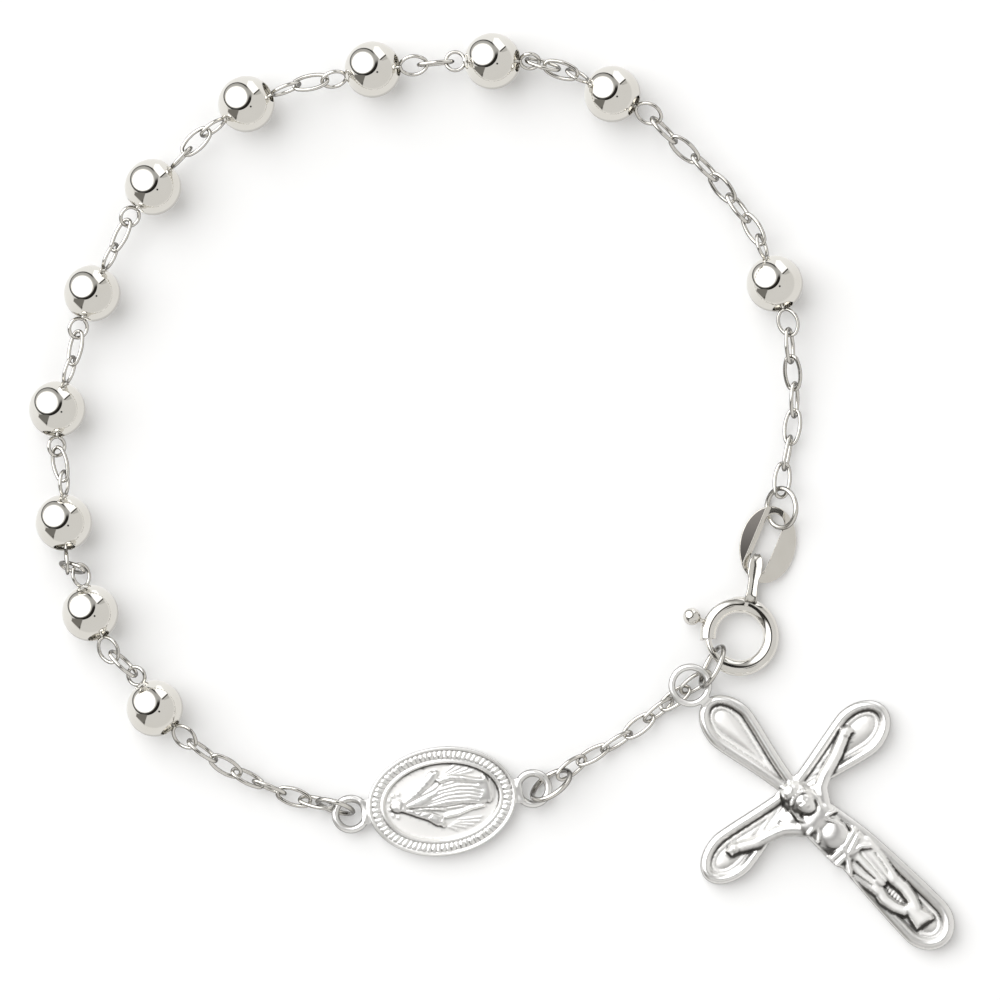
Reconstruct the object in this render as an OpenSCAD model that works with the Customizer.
// Rosary bracelet: ten decade beads and one single bead on eye pins, oval cable
// chain, an oval medal, a crucifix, a spring ring clasp and an end tag.
// Millimetres. The bracelet lies open on its back, floor at z = 0.

/* [Beads] */
// outer diameter of a bead
bead_d = 4.5; // [3:0.1:8]
// thickness of the shell
bead_wall = 0.3; // [0.2:0.05:1]
// diameter of the hole drilled through
bead_hole = 1.7; // [0.8:0.1:3]

/* [Eye pins] */
// wire of the pin
pin_wire = 0.24; // [0.2:0.02:0.6]
// wire of its loops
eye_wire = 0.28; // [0.2:0.02:0.6]
// distance from the middle of the bead to the start of a loop
eye_start = 2.2; // [2:0.05:3]
// how far the pin lies below the middle of the bead
pin_drop = 0.1; // [0:0.05:0.4]

/* [Chain] */
// length of a link
link_l = 3.0; // [2:0.1:5]
// width of a link
link_w = 1.55; // [1:0.1:3]
// wire of a link
link_wire = 0.28; // [0.2:0.02:0.6]

/* [Medal] */
// long way of the oval
medal_l = 11.9; // [8:0.1:20]
// short way of the oval
medal_w = 8.7; // [6:0.1:16]
// thickness of the edge
medal_h = 1.3; // [0.8:0.1:3]

/* [Crucifix] */
// crossing to the end of the upper arm
arm_top = 10.4; // [6:0.1:16]
// crossing to the end of the foot
arm_foot = 17.2; // [10:0.1:26]
// crossing to the end of a side arm
arm_side = 10.05; // [6:0.1:16]
// thickness of the cross
cross_h = 1.85; // [1:0.1:3]

/* [Clasp] */
// radius from the middle of the clasp to the middle of its tube
clasp_r = 2.56; // [2:0.02:5]
// outer radius of the tube
clasp_tube = 0.64; // [0.4:0.02:1]
// radius of the bore that the tongue slides in
clasp_bore = 0.42; // [0.3:0.02:0.8]
// width of the slot for the lever
clasp_slot = 0.66; // [0.4:0.02:1]
// how far the mouth side is propped up
clasp_tilt = 7; // [0:0.5:8]
// radius of the tongue
tongue_r = 0.26; // [0.1:0.02:0.5]
// radius of the lever's ball
lever_ball = 0.7; // [0.4:0.05:1]
// length of the strap that holds the tag
bail_l = 4.1; // [2:0.1:6]
// height of the strap's loop
bail_h = 1.7; // [1:0.1:3]
// thickness of the strap
bail_sheet = 0.3; // [0.2:0.05:0.6]
// width of the strap
bail_w = 0.76; // [0.4:0.02:1.5]

/* [End tag] */
// long way of the oval
tag_l = 6.2; // [3:0.1:10]
// short way of the oval
tag_w = 4.5; // [2:0.1:8]
// thickness of the sheet
tag_sheet = 0.34; // [0.2:0.02:1]
// how steeply each half falls away from the fold
tag_fall = 16; // [0:1:40]
// distance between the round ends of the slot
slot_l = 3.6; // [1:0.1:5]
// width of the slot
slot_w = 1.5; // [0.5:0.1:3]

/* [Hidden] */
$fn = 48;

// Middle of the whole bracelet, so that the origin is the bottom centre of its box.
shift = [0.03, 0.11, 0];

// Beads: place, heading of the hole, how far its far end is raised, bend between the
// loops, then length, width and roll of the near loop and of the far loop.
// [x, y, heading, raise, bend, near_l, near_w, near_roll, far_l, far_w, far_roll]
BEADS = [
    [-26.90, -17.18, -52, 7, 8, 1.85, 1.80, -30, 2.45, 1.85, 25],
    [-32.05, -9.57, -70, 11, 6, 2.10, 1.65, 20, 2.45, 1.85, 20],
    [-34.16, -2.36, -88, 6, 2, 2.20, 1.70, 65, 2.15, 1.80, 85],
    [-34.69, 6.70, -99, 4, 8, 2.45, 1.70, 65, 1.85, 1.80, -35],
    [-31.90, 15.94, -114, 5, 2, 2.45, 1.70, 65, 1.90, 1.86, -30],
    [-27.05, 24.42, -131, 5, 3, 2.45, 1.70, 85, 1.90, 1.86, -30],
    [-19.60, 31.04, 28, 4, -7, 2.45, 1.70, -65, 2.65, 1.80, 72],
    [-9.52, 33.79, 10, 7, -4, 2.25, 1.80, -40, 2.45, 1.85, 20],
    [0.04, 34.46, 0, 8, 0, 1.85, 1.80, 10, 1.85, 1.80, 40],
    [9.60, 31.84, -28, 10, 0, 2.20, 1.70, 65, 2.45, 1.90, 20],
    [22.56, 16.72, -71, 10, 0, 2.20, 1.70, 65, 2.45, 1.90, 20]
];

// Places of the larger pieces
MEDAL_AT = [-4.0, -24.64];
MEDAL_TURN = 8;
CROSS_AT = [24.16, -23.92];
CROSS_TURN = 44.2;
CLASP_AT = [19.78, -11.45];
CLASP_MOUTH = [186, 234];
CLASP_PROP = 210;
LEVER_AT = 157.6;
BAIL_AT = [20.92, -6.84, 0.95];
BAIL_TURN = 82;
TAG_AT = [22.04, -4.12];
TAG_TURN = 79;
SLOT_ASIDE = 0.16;
SLOT_TURN = -12;

// Jump rings: place, height, outer diameter, wire, heading, pitch, roll
// [x, y, z, outer, wire, heading, pitch, roll]
RING_CLASP = [17.58, -13.84, 1.95, 3.9, 0.36, 62, 4.5, -75.5];
RING_TAG = [23.12, -1.20, 1.30, 3.5, 0.36, -80, 8, 44];
RING_MEDAL_R = [4.72, -23.32, 1.85, 3.9, 0.40, 35, 0, -66];
RING_MEDAL_L = [-12.52, -25.04, 1.62, 3.3, 0.36, -17, 0, 74];

// Middle of a loop of bead i, far = 1 or near = 0.
function eye_at(i, far) = let (
    p = BEADS[i],
    s = far ? 1 : -1,
    reach = eye_start + (p[far ? 8 : 5] - eye_wire)/2,
    h = p[2] + s*p[4] + (far ? 0 : 180)
) [p[0] + reach*cos(h), p[1] + reach*sin(h), bead_d/2 - pin_drop];

// A single link between two loops, drawn tight: roll is its turn about its length.
function one_link(a, b, roll) = let (
    p = eye_at(a[0], a[1]),
    q = eye_at(b[0], b[1]),
    la = BEADS[a[0]][a[1] ? 8 : 5],
    lb = BEADS[b[0]][b[1] ? 8 : 5],
    k = (la + link_l)/(la + lb + 2*link_l)
) [p, concat(p + k*(q - p), roll), q];

// Runs of chain. The first and last row of a run are where it is hooked in, the
// others are its links. [x, y, z, roll]
RUN_MEDAL_01 = [
    eye_at(0, 1), [-23.12, -20.56, 2.00, -65], [-21.28, -21.80, 1.60, 25],
    [-19.52, -22.76, 1.20, -50], [-17.80, -23.52, 0.95, 78], [-15.84, -24.28, 0.85, 10],
    [-14.05, -24.72, 1.05, -56], RING_MEDAL_L
];
RUN_01_02 = one_link([1, 1], [0, 0], -60);
RUN_02_03 = [[-34.14, -5.84, 1.20], [-33.49, -5.94, 2.00, 60], [-32.84, -6.04, 2.80]];
RUN_03_04 = one_link([3, 1], [2, 0], 30);
RUN_04_05 = [eye_at(4, 1), [-33.24, 11.58, 2.05, 42], eye_at(3, 0)];
RUN_05_06 = [eye_at(5, 1), [-29.62, 20.58, 2.07, 44], eye_at(4, 0)];
RUN_06_07 = [eye_at(6, 0), [-23.62, 28.05, 2.12, 5], eye_at(5, 0)];
RUN_07_08 = [eye_at(6, 1), [-14.48, 32.77, 2.22, -30], eye_at(7, 0)];
RUN_08_09 = one_link([7, 1], [8, 0], 86);
RUN_09_10 = [
    eye_at(8, 1), [4.05, 34.22, 2.05, -65], [5.49, 33.76, 2.15, 15], eye_at(9, 0)
];
RUN_10_11 = [
    eye_at(9, 1), [13.72, 28.96, 2.05, -65], [15.36, 27.44, 1.80, 25],
    [17.00, 26.00, 1.55, -60], [18.40, 24.36, 1.50, 30], [19.68, 22.76, 1.65, -55],
    [20.88, 21.05, 1.92, 32], eye_at(10, 0)
];
RUN_11_TAG = [
    eye_at(10, 1), [23.76, 11.76, 2.0, -65], [24.00, 9.60, 1.65, 20],
    [24.16, 7.44, 1.25, -66], [24.00, 5.28, 0.95, 20], [23.60, 3.20, 0.98, -75],
    [23.18, 1.02, 1.20, -18], RING_TAG
];
RUN_MEDAL_CLASP = [
    RING_MEDAL_R, [6.35, -21.95, 1.20, 35], [8.05, -20.92, 0.88, -45],
    [9.95, -19.88, 0.84, 60], [11.75, -18.60, 0.80, -25], [13.30, -17.35, 0.74, 55],
    [14.64, -16.39, 0.68, -32], [16.27, -15.13, 0.70, 37], [17.60, -14.40, 0.60]
];

// Heading, pitch and roll of a piece, in that order from the outside.
module turn(heading, pitch, roll) rotate([0, 0, heading]) rotate([0, -pitch, 0]) rotate([roll, 0, 0]) children();

// Bent wire: an arc of a ring, its middle on +x.
module wire_arc(r, wire, span) rotate([0, 0, -span/2]) rotate_extrude(angle = span) translate([r, 0]) circle(d = wire);

// Closed oval of round wire, its length on x.
module wire_oval(l, w, wire) {
    a = (l - wire)/2;
    b = (w - wire)/2;
    if (a - b < 0.05) rotate_extrude() translate([b, 0]) circle(d = wire);
    else {
        r = 0.75*b;
        c = (pow(a - r, 2) - pow(b - r, 2))/(2*(b - r));
        t = atan2(c, a - r);
        for (s = [0, 180]) rotate([0, 0, s]) {
            translate([a - r, 0, 0]) wire_arc(r, wire, 2*t);
            translate([0, -c, 0]) rotate([0, 0, 90]) wire_arc(b + c, wire, 180 - 2*t);
        }
    }
}

// Turned loop of round wire with straight sides, its length on x.
module wire_eye(l, w, wire) {
    a = (l - wire)/2;
    b = (w - wire)/2;
    if (a - b < 0.05) rotate_extrude() translate([b, 0]) circle(d = wire);
    else for (s = [0, 180]) rotate([0, 0, s]) {
        translate([a - b, 0, 0]) wire_arc(b, wire, 180);
        translate([b - a, -b, 0]) rotate([0, 90, 0]) cylinder(h = 2*(a - b), d = wire);
    }
}

// Cylinder of radius r from a to b.
module rod(a, b, r) {
    v = b - a;
    translate(a) rotate([0, 0, atan2(v[1], v[0])]) rotate([0, 90 - atan2(v[2], norm([v[0], v[1]])), 0])
        cylinder(h = norm(v), r = r);
}

// Ball of radius r with its middle at p.
module ball(p, r) translate(p) sphere(r = r);

// Rod with round ends.
module limb(a, b, r) {
    rod(a, b, 0.95*r);
    ball(a, r);
    ball(b, r);
}

// One hollow drilled bead.
module bead(i) {
    p = BEADS[i];
    color("#e8e8ea") translate([p[0], p[1], bead_d/2] + shift) turn(p[2], p[3], 0)
        rotate([0, 90, 0]) rotate_extrude() difference() {
            circle(d = bead_d);
            circle(d = bead_d - 2*bead_wall);
            translate([-bead_d, -bead_d]) square([bead_d + bead_hole/2, 2*bead_d]);
        }
}

// Wire pin through a bead with a loop turned at each end.
module eye_pin(i) {
    p = BEADS[i];
    near = [-eye_start*cos(p[4]), eye_start*sin(p[4]), -pin_drop];
    far = [eye_start*cos(p[4]), eye_start*sin(p[4]), -pin_drop];
    color("#d8d8dc") translate([p[0], p[1], bead_d/2] + shift) rotate([0, 0, p[2]]) {
        rod(near, far, pin_wire/2);
        translate(near) turn(180 - p[4], 0, p[7])
            translate([(p[5] - eye_wire)/2, 0, 0]) wire_eye(p[5], p[6], eye_wire);
        translate(far) turn(p[4], 0, p[10])
            translate([(p[8] - eye_wire)/2, 0, 0]) wire_eye(p[8], p[9], eye_wire);
    }
}

// Loose oval links along the rows of a run, each one facing from the row before to
// the row after.
module chain(run) color("#d8d8dc") for (i = [1:len(run) - 2]) {
    v = [for (j = [0:2]) run[i + 1][j] - run[i - 1][j]];
    translate([run[i][0], run[i][1], run[i][2]] + shift)
        turn(atan2(v[1], v[0]), atan2(v[2], norm([v[0], v[1]])), run[i][3])
            wire_oval(link_l, link_w, link_wire);
}

// Round jump ring.
module jump_ring(p) color("#d8d8dc") translate([p[0], p[1], p[2]] + shift) turn(p[5], p[6], p[7])
    rotate_extrude() translate([(p[3] - p[4])/2, 0]) circle(d = p[4]);

// Oval outline with the given margin inside the edge of the medal.
module medal_oval(margin) scale([medal_l/2 - margin, medal_w/2 - margin]) circle(r = 1);

// Oval medal lying on its back, robed figure on its side with the head at the left,
// a ring at each end for the chain.
module medal() color("#dcdce0") translate([MEDAL_AT[0], MEDAL_AT[1], 0] + shift) rotate([0, 0, MEDAL_TURN]) {
    difference() {
        linear_extrude(medal_h) medal_oval(0);
        translate([0, 0, medal_h - 0.25]) linear_extrude(1) difference() {
            medal_oval(0.3);
            medal_oval(1.25);
        }
        translate([0, 0, medal_h - 0.45]) linear_extrude(1) medal_oval(1.45);
    }
    // robe, mantle, arms, head
    translate([0.2, 0, 0.8]) scale([3.1, 1.05, 0.75]) sphere(r = 1);
    translate([-1.2, 0, 0.8]) scale([1.3, 1.35, 0.7]) sphere(r = 1);
    limb([-1.6, 0.9, 0.95], [-0.4, 2.0, 0.85], 0.3);
    limb([-1.6, -0.9, 0.95], [-0.4, -1.8, 0.85], 0.3);
    translate([-3.3, 0, 0.95]) scale([0.72, 0.6, 0.6]) sphere(r = 1);
    translate([3.55, 0, 0.8]) scale([0.6, 1.0, 0.35]) sphere(r = 1);
    for (s = [-1, 1]) translate([s*7.35, 0, 0.86]) {
        rotate_extrude() translate([1.2, 0]) circle(d = 0.56);
        translate([-s*1.5, 0, 0]) cube([0.9, 1.3, 0.5], center = true);
    }
}

// Outline of one arm of the cross from the crossing along +y, margin inside its edge.
module arm_shape(length, width, margin) {
    r = width/2;
    waist = 1.15;
    translate([0, length - r]) circle(r = r - margin);
    polygon([
        [margin - waist, 0], [waist - margin, 0],
        [(r - margin)*cos(12), length - r - (r - margin)*sin(12)],
        [-(r - margin)*cos(12), length - r - (r - margin)*sin(12)]
    ]);
}

// The whole outline.
module cross_shape(margin) {
    arm_shape(arm_top, 4.2, margin);
    rotate(180) arm_shape(arm_foot, 4.8, margin);
    for (s = [-1, 1]) rotate(s*90) arm_shape(arm_side, 4.0, margin);
}

// Cast crucifix lying on its back with the figure on it and a ring on the upper arm.
module crucifix() color("#dcdce0") translate([CROSS_AT[0], CROSS_AT[1], 0] + shift) rotate([0, 0, CROSS_TURN]) {
    difference() {
        linear_extrude(cross_h) cross_shape(0);
        translate([0, 0, cross_h - 0.6]) linear_extrude(1) cross_shape(0.7);
    }
    translate([0, 11.94, 1.55]) rotate_extrude() translate([1.5, 0]) circle(d = 0.5);
    // legs, hips, chest, arms, head
    limb([0.1, -14.3, 1.3], [0.1, -10.4, 1.9], 0.55);
    limb([0.15, -10.4, 1.9], [0, -6.6, 1.6], 0.8);
    limb([0, -6.3, 1.45], [-0.1, -2.9, 1.45], 1.12);
    for (s = [-1, 1]) {
        limb([s*0.9, -2.1, 1.6], [s*3.7, -1.2, 1.7], 0.5);
        limb([s*3.7, -1.2, 1.7], [s*6.3, 0.5, 1.5], 0.4);
    }
    ball([-0.1, -0.6, 2.15], 1.05);
}

// Places the clasp, its mouth side propped up.
module clasp_place() translate([CLASP_AT[0], CLASP_AT[1], clasp_tube + clasp_r*sin(clasp_tilt)] + shift)
    rotate([0, 0, CLASP_PROP]) rotate([0, -clasp_tilt, 0]) rotate([0, 0, -CLASP_PROP]) children();

// Bent tube of the clasp from angle a to angle b.
module clasp_bend(a, b, r) rotate([0, 0, a]) rotate_extrude(angle = b - a) translate([clasp_r, 0]) circle(r = r);

// Spring ring: open tube, bored where the tongue slides, slotted for the lever, with
// the strap bail that holds the end tag.
module clasp_ring() color("#dcdce0") {
    clasp_place() difference() {
        clasp_bend(CLASP_MOUTH[1] - 360, CLASP_MOUTH[0], clasp_tube);
        clasp_bend(84, CLASP_MOUTH[0] + 1, clasp_bore);
        clasp_bend(CLASP_MOUTH[1] - 1, CLASP_MOUTH[1] + 12, clasp_bore);
        rotate([0, 0, 98]) rotate_extrude(angle = 67)
            translate([clasp_r, -clasp_slot/2]) square([1, clasp_slot]);
    }
    translate(BAIL_AT + shift) rotate([0, 0, BAIL_TURN]) rotate([90, 0, 0])
        translate([0, 0, -bail_w/2]) linear_extrude(bail_w) difference() {
            bail_shape(bail_l, bail_h);
            bail_shape(bail_l - 2*bail_sheet, bail_h - 2*bail_sheet);
        }
}

// Long round-ended outline of the bail.
module bail_shape(l, w) {
    square([l - w, w], center = true);
    for (s = [-1, 1]) translate([s*(l - w)/2, 0]) circle(d = w);
}

// Spring lever: tongue wire, stem and ball in one.
module clasp_lever() color("#c8c8cc") clasp_place() {
    clasp_bend(150, CLASP_MOUTH[1] + 6, tongue_r);
    rotate([0, 0, LEVER_AT]) {
        rod([clasp_r, 0, 0], [4.1, 0, 0], 0.2);
        ball([4.14, 0, 0], lever_ball);
    }
}

// Oval end tag folded like a low roof along its long axis, with a long slot.
module end_tag() color("#cfcfd3") translate([TAG_AT[0], TAG_AT[1], 0] + shift) rotate([0, 0, TAG_TURN]) difference() {
    intersection() {
        linear_extrude(3) scale([tag_l/2, tag_w/2]) circle(r = 1);
        for (s = [-1, 1]) translate([0, 0, 0.74]) rotate([-s*tag_fall, 0, 0])
            translate([-4, s > 0 ? -0.06 : -4, 0]) cube([8, 4.06, tag_sheet]);
    }
    translate([0, SLOT_ASIDE, -1]) rotate([0, 0, SLOT_TURN]) linear_extrude(4) {
        square([slot_l, slot_w], center = true);
        for (s = [-1, 1]) translate([s*slot_l/2, 0]) circle(d = slot_w);
    }
}

bead(0);  // bead_01
bead(1);  // bead_02
bead(2);  // bead_03
bead(3);  // bead_04
bead(4);  // bead_05
bead(5);  // bead_06
bead(6);  // bead_07
bead(7);  // bead_08
bead(8);  // bead_09
bead(9);  // bead_10
bead(10);  // bead_11
eye_pin(0);  // eye_pin_01
eye_pin(1);  // eye_pin_02
eye_pin(2);  // eye_pin_03
eye_pin(3);  // eye_pin_04
eye_pin(4);  // eye_pin_05
eye_pin(5);  // eye_pin_06
eye_pin(6);  // eye_pin_07
eye_pin(7);  // eye_pin_08
eye_pin(8);  // eye_pin_09
eye_pin(9);  // eye_pin_10
eye_pin(10);  // eye_pin_11
chain(RUN_MEDAL_01);  // chain_medal_bead_01
chain(RUN_01_02);  // chain_bead_01_02
chain(RUN_02_03);  // chain_bead_02_03
chain(RUN_03_04);  // chain_bead_03_04
chain(RUN_04_05);  // chain_bead_04_05
chain(RUN_05_06);  // chain_bead_05_06
chain(RUN_06_07);  // chain_bead_06_07
chain(RUN_07_08);  // chain_bead_07_08
chain(RUN_08_09);  // chain_bead_08_09
chain(RUN_09_10);  // chain_bead_09_10
chain(RUN_10_11);  // chain_bead_10_11
chain(RUN_11_TAG);  // chain_bead_11_tag
chain(RUN_MEDAL_CLASP);  // chain_medal_clasp
medal();
crucifix();
clasp_ring();
clasp_lever();
end_tag();
jump_ring(RING_CLASP);  // jump_ring_clasp
jump_ring(RING_TAG);  // jump_ring_tag
jump_ring(RING_MEDAL_R);  // jump_ring_medal_right
jump_ring(RING_MEDAL_L);  // jump_ring_medal_left
